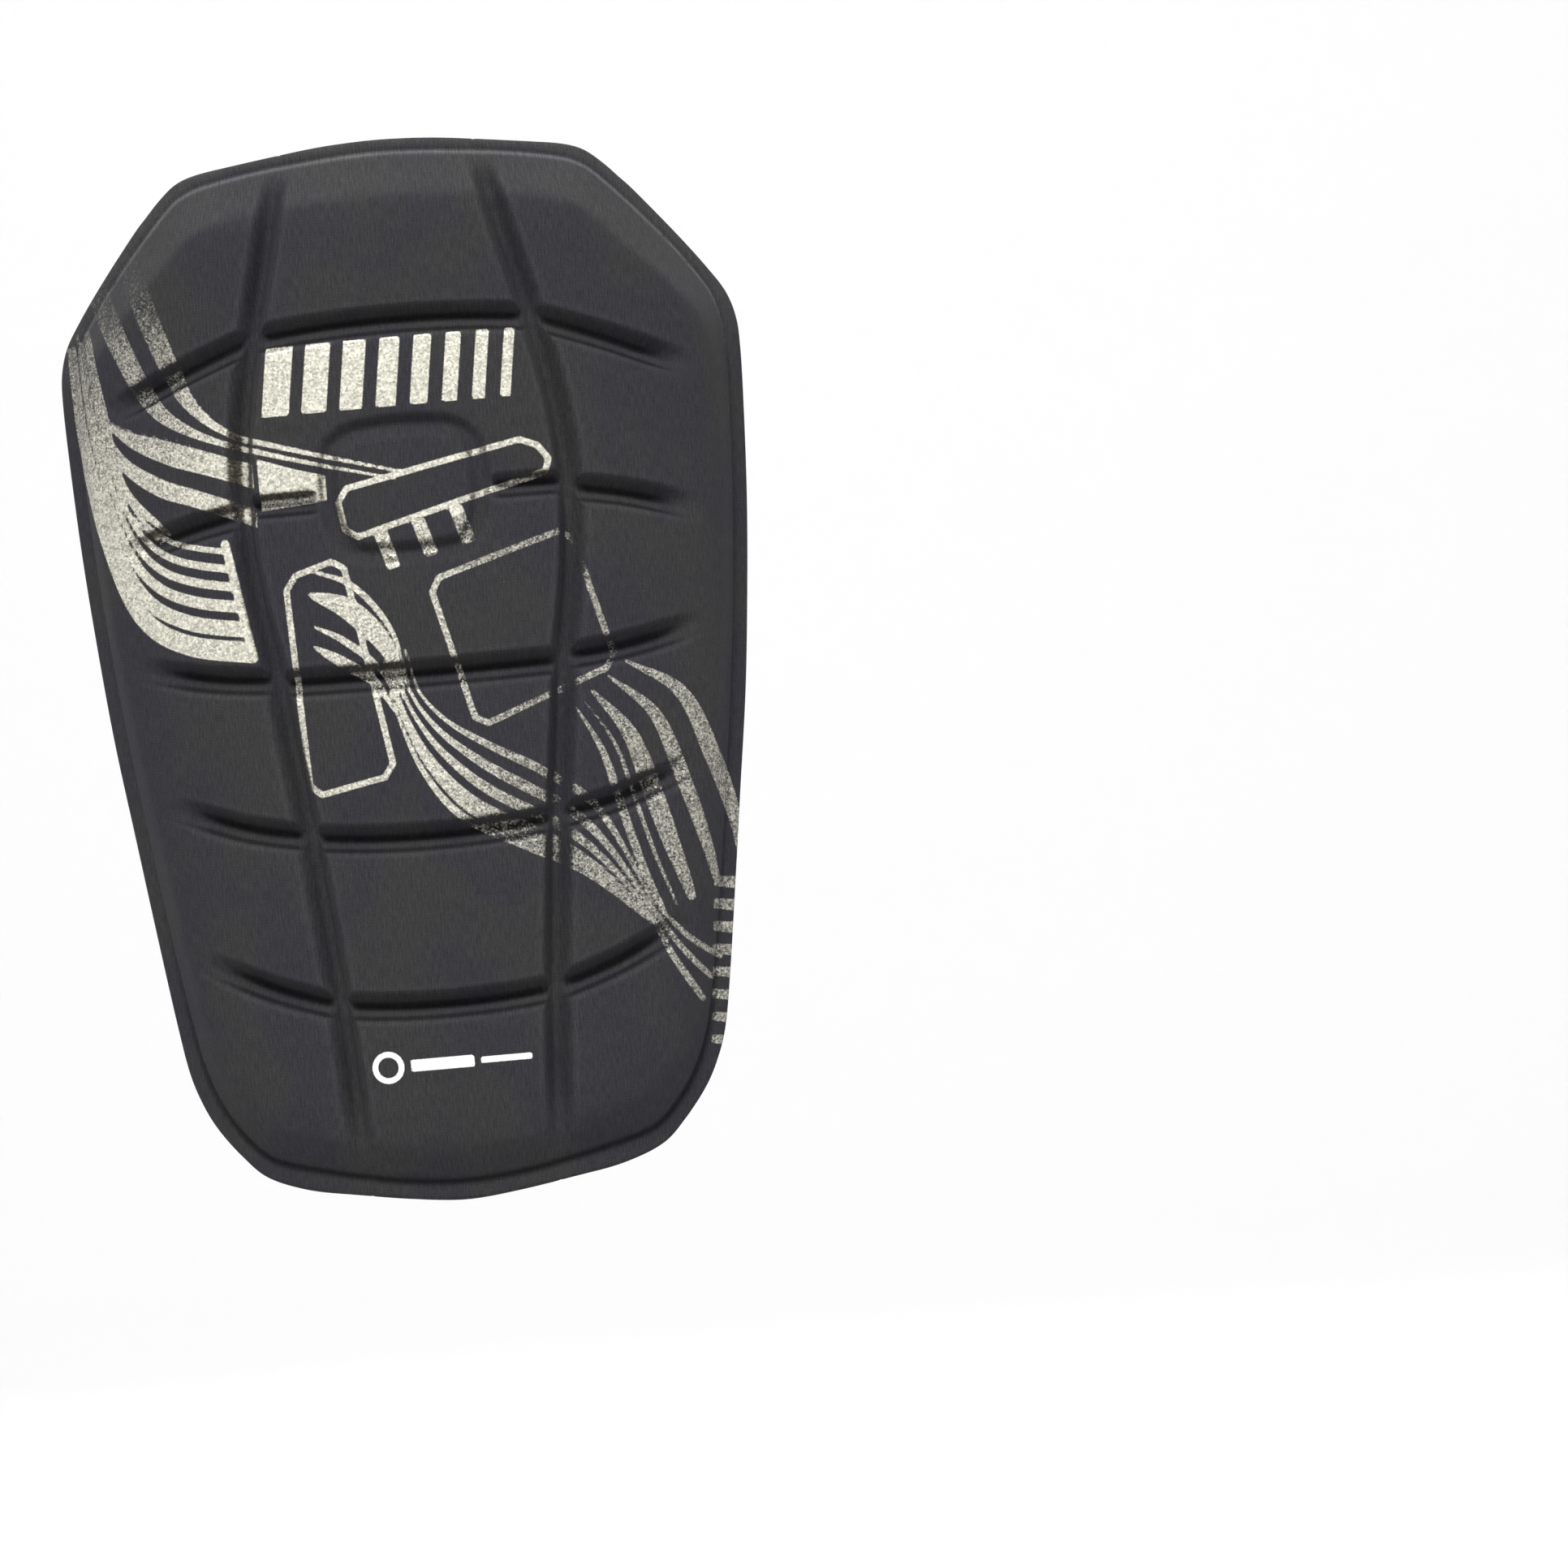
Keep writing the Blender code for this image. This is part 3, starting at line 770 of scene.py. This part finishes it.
class Look:
    """A procedural material, built up node by node."""

    def __init__(self, name, **surface):
        self.material = bpy.data.materials.new(name)
        self.material.use_nodes = True
        self.tree = self.material.node_tree
        self.shader = self.tree.nodes["Principled BSDF"]
        self.surface(**surface)

    def node(self, kind, **settings):
        made = self.tree.nodes.new(kind)
        for key, value in settings.items():
            setattr(made, key, value)
        return made

    def put(self, socket, value):
        if isinstance(value, Wire):
            self.tree.links.new(value.socket, socket)
        else:
            socket.default_value = value

    def surface(self, **inputs):
        """Sets the shader's inputs, or links them."""
        for name, value in inputs.items():
            title = name.replace("_", " ").title().replace("Ior", "IOR")
            self.put(self.shader.inputs[title], value)

    def math(self, operation, a, b=0.0):
        node = self.node("ShaderNodeMath", operation=operation)
        self.put(node.inputs[0], a)
        self.put(node.inputs[1], b)
        return Wire(self, node.outputs[0])

    def stored(self, name, vector=False):
        """A value that the mesh holds for each point."""
        node = self.node("ShaderNodeAttribute", attribute_name=name)
        return Wire(self, node.outputs["Vector" if vector else "Fac"])

    def scaled(self, vector, sizes):
        """A vector in mm, divided by feature sizes in mm."""
        node = self.node("ShaderNodeVectorMath", operation="DIVIDE")
        self.put(node.inputs[0], vector)
        self.put(node.inputs[1], sizes)
        return Wire(self, node.outputs[0])

    def split(self, vector):
        node = self.node("ShaderNodeSeparateXYZ")
        self.put(node.inputs[0], vector)
        return [Wire(self, socket) for socket in node.outputs]

    def noise(self, vector, sizes, detail=2.0, roughness=0.5):
        node = self.node("ShaderNodeTexNoise")
        self.put(node.inputs["Vector"], self.scaled(vector, sizes))
        self.put(node.inputs["Scale"], 1.0)
        self.put(node.inputs["Detail"], detail)
        self.put(node.inputs["Roughness"], roughness)
        return Wire(self, node.outputs[0])

    def cells(self, vector, sizes, randomness=1.0):
        """Distance from the middle of the nearest cell, in cells."""
        node = self.node("ShaderNodeTexVoronoi")
        self.put(node.inputs["Vector"], self.scaled(vector, sizes))
        self.put(node.inputs["Scale"], 1.0)
        self.put(node.inputs["Randomness"], randomness)
        return Wire(self, node.outputs["Distance"])

    def speckle(self, vector, size):
        """A value from 0 to 1 that changes from cell to cell."""
        node = self.node("ShaderNodeTexVoronoi")
        self.put(node.inputs["Vector"], self.scaled(vector, (size,) * 3))
        self.put(node.inputs["Scale"], 1.0)
        apart = self.node("ShaderNodeSeparateColor")
        self.put(apart.inputs[0], Wire(self, node.outputs["Color"]))
        return Wire(self, apart.outputs[0])

    def mix(self, share, a, b):
        """A colour between a and b."""
        node = self.node("ShaderNodeMix", data_type="RGBA")
        self.put(node.inputs[0], share)
        for socket, colour in zip((node.inputs[6], node.inputs[7]), (a, b)):
            self.put(socket, colour if isinstance(colour, Wire) else (*colour, 1.0))
        return Wire(self, node.outputs[2])

    def dimmed(self, colour, amount):
        """A colour times a number."""
        node = self.node("ShaderNodeVectorMath", operation="SCALE")
        self.put(node.inputs[0], colour)
        self.put(node.inputs["Scale"], amount)
        return Wire(self, node.outputs[0])

    def bump(self, height, depth):
        """Roughens the surface: height from 0 to 1 stands for depth in mm."""
        node = self.node("ShaderNodeBump")
        self.put(node.inputs["Strength"], 1.0)
        self.put(node.inputs["Distance"], depth * MM)
        self.put(node.inputs["Height"], height)
        self.tree.links.new(node.outputs[0], self.shader.inputs["Normal"])


def knit(look, place):
    """Fine vertical ribs and fibres, as (height, lightness), each about 0 to 1."""
    s, z, _ = look.split(place)
    wander = look.noise(place, (2.2, 8.0, 3.0), 2.0)
    rib = (s * (2 * math.pi / RIB) + wander * 14.0).sine() * 0.5 + 0.5
    course = (z * (2 * math.pi / COURSE) + rib * 2.4 + wander * 9.0).sine() * 0.5 + 0.5
    fibre = look.noise(place, (0.34, 2.4, 1.0), 3.0, 0.6)
    fuzz = look.noise(place, (0.30, 0.36, 0.3), 2.0, 0.7)
    height = rib * 0.30 + course * 0.20 + fibre * 0.60
    light = rib * 0.07 + course * 0.05 + fibre * 0.75 + fuzz * 0.55 - 0.26
    return height, light


def face_look():
    """The brushed knit of the face, with the foil bands and the small white print."""
    look = Look("face_knit_with_print", sheen_weight=0.03, sheen_roughness=0.5)
    look.surface(sheen_tint=(0.80, 0.80, 0.92, 1.0), specular_ior_level=0.10)
    place = look.stored("pattern", vector=True)
    held_by, wall, foot = look.stored("cover"), look.stored("wall"), look.stored("foot")
    height, light = knit(look, place)

    # Charcoal cloth with a faint violet cast in patches, given a painted highlight on the upper
    # slopes and cut corners, which face the light; the violet fades there too.
    mottle = look.noise(place, (24.0, 34.0, 20.0), 3.0, 0.6)
    lit_slope = look.stored("slope").ramp(0.0, 1.0)
    violet = mottle.ramp(0.38, 0.60) * (lit_slope * -0.8 + 1.0)
    dye = look.mix(violet, (0.0285, 0.0283, 0.0285), (0.0250, 0.0243, 0.0296))
    # Painted shade: darker on the grooves' walls, most of all the upper walls, and along the
    # lines at their feet and in the crease, darker towards the bottom.
    painted_shade = wall.ramp(0.0, 1.0, 1.0, 0.85) * foot.ramp(0.05, 1.0, 1.0, 0.33)
    # Painted highlights: on the rounded pad edges beside the grooves, along the crease at the top
    # and on the upper slopes.
    painted_highlight = look.stored("crest").ramp(0.0, 1.0, 1.0, 1.2) + look.stored("seam") * 2.1
    painted_highlight = painted_highlight + lit_slope * 0.47
    cloth = look.dimmed(dye, painted_shade * painted_highlight * light.ramp(0.1, 0.9, 0.55, 1.45))

    # Foil, grainy, missing where the cloth was stretched over a groove's wall; the foil on the
    # walls is painted dark as shade, most of all on the upper walls.
    grain = look.noise(place, (0.33, 0.36, 0.33), 3.0, 0.9)
    patchy = look.noise(place, (1.6, 2.0, 1.6), 2.0)
    ragged = (grain - 0.5) * 0.45 + (patchy - 0.5) * 0.1
    laid = (look.stored("foil") + ragged).ramp(-0.14, 0.10, 1.0, 0.0)
    speck = grain * 0.75 + look.speckle(place, 0.40) * 0.17 + patchy * 0.08
    kept = (speck - held_by + wall * 0.24 + foot * 0.13).ramp(-0.18, 0.14, 1.0, 0.0)
    foil = laid * kept
    tone = grain * 0.3 + look.speckle(place, FOIL_GRAIN) * 0.6 + patchy * 0.1
    silver = look.mix(tone, (0.23, 0.22, 0.185), (0.87, 0.85, 0.73))
    silver = look.dimmed(silver, held_by.ramp(0.38, 0.60, 0.48, 1.0))
    # Painted shade: the foil goes dark on the grooves' walls.
    shaded_foil = look.mix(tone, (0.020, 0.017, 0.010), (0.30, 0.26, 0.16))
    metal = look.mix(wall.ramp(0.15, 0.7), silver, shaded_foil)

    ink = (look.stored("mark") + (grain - 0.5) * 0.22).ramp(-0.10, 0.10, 1.0, 0.0)
    look.surface(base_color=look.mix(ink, look.mix(foil, cloth, metal), (0.76, 0.76, 0.75)))
    look.surface(metallic=foil * 0.4)
    look.surface(roughness=foil.ramp(0.0, 1.0, 0.86, 0.47) - foil * wall * 0.16)
    look.bump(height * (foil * -0.5 + 1.0) + foil * 0.3, 0.15)
    return look.material


def lining_look():
    """A dark knit with rows of small round holes."""
    look = Look("lining_mesh", sheen_weight=0.25, roughness=0.86, specular_ior_level=0.3)
    place = look.stored("pattern", vector=True)
    height, light = knit(look, place)
    hole = look.cells(place, (HOLE_SPACING,) * 3, 0.0).ramp(0.20, 0.30, 0.0, 1.0)
    mottle = look.noise(place, (26.0, 26.0, 26.0), 2.0)
    thread = look.mix(light.ramp(0.1, 0.9), (0.020, 0.020, 0.022), (0.066, 0.066, 0.070))
    tone = look.mix(mottle.ramp(0.35, 0.65), (0.036, 0.036, 0.040), (0.050, 0.050, 0.052))
    cloth = look.mix(0.5, thread, tone)
    look.surface(base_color=look.mix(hole, (0.010, 0.010, 0.011), cloth))
    look.bump(height * 0.35 + hole * 0.65, 0.30)
    return look.material


def foam_look(name, dark, light, size):
    """Matt closed-cell foam with fine cells and a few larger pores."""
    look = Look(name, roughness=0.9, specular_ior_level=0.25)
    place = look.stored("pattern", vector=True)
    fine = look.noise(place, (size, size, size), 3.0, 0.65)
    pores = look.cells(place, (2.4 * size,) * 3).ramp(0.10, 0.32, 0.0, 1.0)
    look.surface(base_color=look.mix(fine * pores, dark, light))
    look.bump(fine * 0.5 + pores * 0.5, 0.18)
    return look.material


def add_look(piece, material):
    """Puts a material on a piece."""
    piece.data.materials.append(material)


# ---------------------------------------------------------------- the guard


def marks(places):
    """Distance in mm to the small white print, a plain ring with two bars beside it."""
    x, z = places[:, 0], places[:, 1] - MARK_HEIGHT
    found = np.abs(np.hypot(x + 13.0, z) - 2.6) - 0.55
    for left, right, half in ((-8.5, 4.0, 1.15), (5.3, 15.4, 0.6)):
        along = np.maximum(left - x, x - right)
        found = np.minimum(found, np.maximum(along, np.abs(z) - half))
    return found


def cover(places):
    """How much of the foil holds, for points seen from in front."""
    x, z = places.T
    middle, plumes = 0.60, 0.51
    flank = 0.66 - 0.18 * ease((z - 10) / 70) * ease((-x - 30) / 16)
    flank = flank - 0.17 * ease((z - 66) / 22)
    fan = middle - 0.10 * ease((x + 4) / 26)
    share = np.where(x > 30, plumes, fan)
    share = np.where(x < -28, flank, share)
    return np.where(z > 30, np.maximum(flank, middle * (x > -28)), share)


def build_guard():
    """Makes every piece and gives it its material, hides the CAD parts that it stands in for, and
    hangs the spine's pads from the spine.
    """
    grid = right_half()
    shape, points = grid.shape[:2], grid.reshape(-1, 2)
    count = len(points)
    lay = Lay(points)
    outer, under = lay.height(), lay.height(CLOTH)
    across, along = points.T
    crease = np.exp(-((lay.inside / 0.9) ** 2))

    # What the face's material follows: a painted highlight along the crease at the top and a dark
    # line in it below as painted shade, and a painted highlight on the slope from it to the pads
    # at the top, most of all at the cut corners.
    crease_highlight = np.exp(-(((lay.inside - 0.5) / 0.38) ** 2)) * ease((along - 58) / 14)
    slope = (1 - 0.7 * np.exp(-((lay.inside / 0.5) ** 2))) * (1 - ease((lay.inside - 7.5) / 3.5))
    slope = slope * ease((along - 52) / 26) * (1 - lay.nearness(2.5))
    slope = slope * (0.68 + 0.32 * ease((across - 26) / 14))
    # Painted shade: the crease's dark line grows darker towards the bottom.
    lower = 1 - ease((along + 95) / 70)
    foot = np.maximum(lay.foot(), crease * (0.12 + 0.78 * lower))
    relief = {
        "crest": lay.crest(), "wall": lay.wall(), "foot": foot, "seam": crease_highlight, "slope": slope,
    }

    # The skins under the face. The shin side shows the grooves faintly, as shallow channels.
    web_top = np.minimum(WEB_TOP, under - 0.06)
    edge_round = 0.22 * (1 - np.clip(lay.edge / 0.5, 0, 1)) ** 2
    channel = 0.30 * lay.cut() + 0.16 * crease + edge_round
    web_low = np.full(count, LINING_TOP + 0.05)
    lining_top = np.full(count, LINING_TOP) - edge_round

    flat_area = pattern_area(grid) * MM**2

    looks = {
        "face": face_look(),
        "lining": lining_look(),
        "web": foam_look("web_foam", (0.014, 0.014, 0.015), (0.040, 0.040, 0.042), 0.35),
        "pad": foam_look("pad_foam", (0.016, 0.016, 0.018), (0.055, 0.055, 0.060), 0.5),
    }
    faces = halves("face", shape, points, outer, under)
    webs = halves("web", shape, points, web_top, web_low)
    linings = halves("lining", shape, points, lining_top, channel)
    for side, word, face, web, lining in zip((1, -1), ("right", "left"), faces, webs, linings):
        front = wrapped(points[:, 0] * side, points[:, 1], outer)[:, [0, 2]] / MM
        prints = {"foil": print_distance(front), "mark": marks(front), "cover": cover(front)}
        for name, values in prints.items():
            give(face, name, np.concatenate([values, np.full(count, FAR)]))
        for name, values in relief.items():
            give(face, name, np.concatenate([values, np.zeros(count)]))
        add_look(face, looks["face"])
        add_look(web, looks["web"])
        add_look(lining, looks["lining"])
        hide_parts(f"{word}_face_fabric")
        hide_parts(f"{word}_web")
        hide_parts(f"{word}_lining")
        if side > 0:
            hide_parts("spine_face_fabric")
            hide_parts("spine_web")
            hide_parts("spine_lining")
        for piece in (face, web, lining):
            bend_with_wing(piece)
    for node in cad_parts:
        if "_pad_" not in node:
            continue
        pad = foam_pad(node)
        add_look(pad, looks["pad"])
        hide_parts(node)
        if node.startswith("spine"):
            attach(pad, "spine")
        else:
            bend_with_wing(pad)


def pattern_area(grid):
    """Area of the flat pattern's half, in square mm."""
    a, b, c, d = grid[:-1, :-1], grid[1:, :-1], grid[1:, 1:], grid[:-1, 1:]
    p, q = c - a, d - b
    return float(np.abs(p[..., 0] * q[..., 1] - p[..., 1] * q[..., 0]).sum() / 2)


# ---------------------------------------------------------------- camera, light and stage


def build_camera():
    """The photograph's view: square on to the front, turned a little about the line of sight."""
    low, high = cad_box
    centre = (low + high) / 2
    turn = math.radians(ROLL)
    right = Vector((math.cos(turn), 0, -math.sin(turn)))
    up = Vector((math.sin(turn), 0, math.cos(turn)))
    aim = Vector((centre.x, 0, centre.z)) + right * AIM_RIGHT + up * AIM_UP
    data = bpy.data.cameras.new("camera")
    data.lens = data.sensor_width * DISTANCE / FRAME_WIDTH
    camera = bpy.data.objects.new("camera", data)
    bpy.context.scene.collection.objects.link(camera)
    axes = Matrix((right, up, Vector((0, -1, 0)))).transposed()
    camera.matrix_world = Matrix.Translation(aim + Vector((0, -DISTANCE, 0))) @ axes.to_4x4()
    bpy.context.scene.camera = camera


def area_light(name, place, size, power, target=(0, 0, 0)):
    """A round soft light that faces the target, and doesn't show itself."""
    data = bpy.data.lights.new(name, "AREA")
    data.shape = "DISK"
    data.size, data.energy = size, power
    light = bpy.data.objects.new(name, data)
    bpy.context.scene.collection.objects.link(light)
    light.location = place
    light.rotation_mode = "QUATERNION"
    light.rotation_quaternion = (Vector(target) - Vector(place)).to_track_quat("-Z", "Y")
    light.visible_camera = False


def build_stage():
    """A pale floor that sweeps up into a wall all round, open at the top."""
    around, rings, steps = 96, 4, 12
    profile = [(FLOOR_RADIUS * k / rings, FLOOR) for k in range(rings + 1)]
    for k in range(1, steps + 1):
        turn = k / steps * math.pi / 2
        radius = FLOOR_RADIUS + SWEEP * math.sin(turn)
        profile.append((radius, FLOOR + SWEEP * (1 - math.cos(turn))))
    profile.append((FLOOR_RADIUS + SWEEP, FLOOR + WALL_TOP))
    places = []
    for radius, z in profile:
        for k in range(around):
            turn = 2 * math.pi * k / around
            places.append((radius * math.cos(turn), radius * math.sin(turn), z))
    faces = []
    for ring in range(len(profile) - 1):
        for k in range(around):
            a, b = ring * around + k, ring * around + (k + 1) % around
            faces.append((a, b, b + around, a + around) if ring else (a, b + around, a + around))
    mesh = bpy.data.meshes.new("studio_floor")
    mesh.from_pydata(places, [], faces)
    mesh.update()
    mesh.shade_smooth()
    floor = bpy.data.objects.new("studio_floor", mesh)
    bpy.context.scene.collection.objects.link(floor)
    look = Look("studio_paper", roughness=0.9, specular_ior_level=0.1)
    look.surface(base_color=PAPER)
    mesh.materials.append(look.material)


def build_light():
    """Even light from all round, a high key light, a fill from the right and a lit wall."""
    world = bpy.data.worlds.new("studio")
    world.use_nodes = True
    world.node_tree.nodes["Background"].inputs["Color"].default_value = (1, 1, 1, 1)
    world.node_tree.nodes["Background"].inputs["Strength"].default_value = WORLD_STRENGTH
    bpy.context.scene.world = world
    area_light("key", (-0.25, -1.25, 1.58), 0.6, KEY_POWER)
    area_light("fill", (1.3, -1.0, 1.5), 0.8, FILL_POWER)
    area_light("wall_wash", (0.0, 0.9, 2.4), 1.2, BACK_POWER, (0, 3.6, 0.4))
    bpy.context.scene.view_settings.view_transform = "Standard"


build_guard()
build_camera()
build_stage()
build_light()
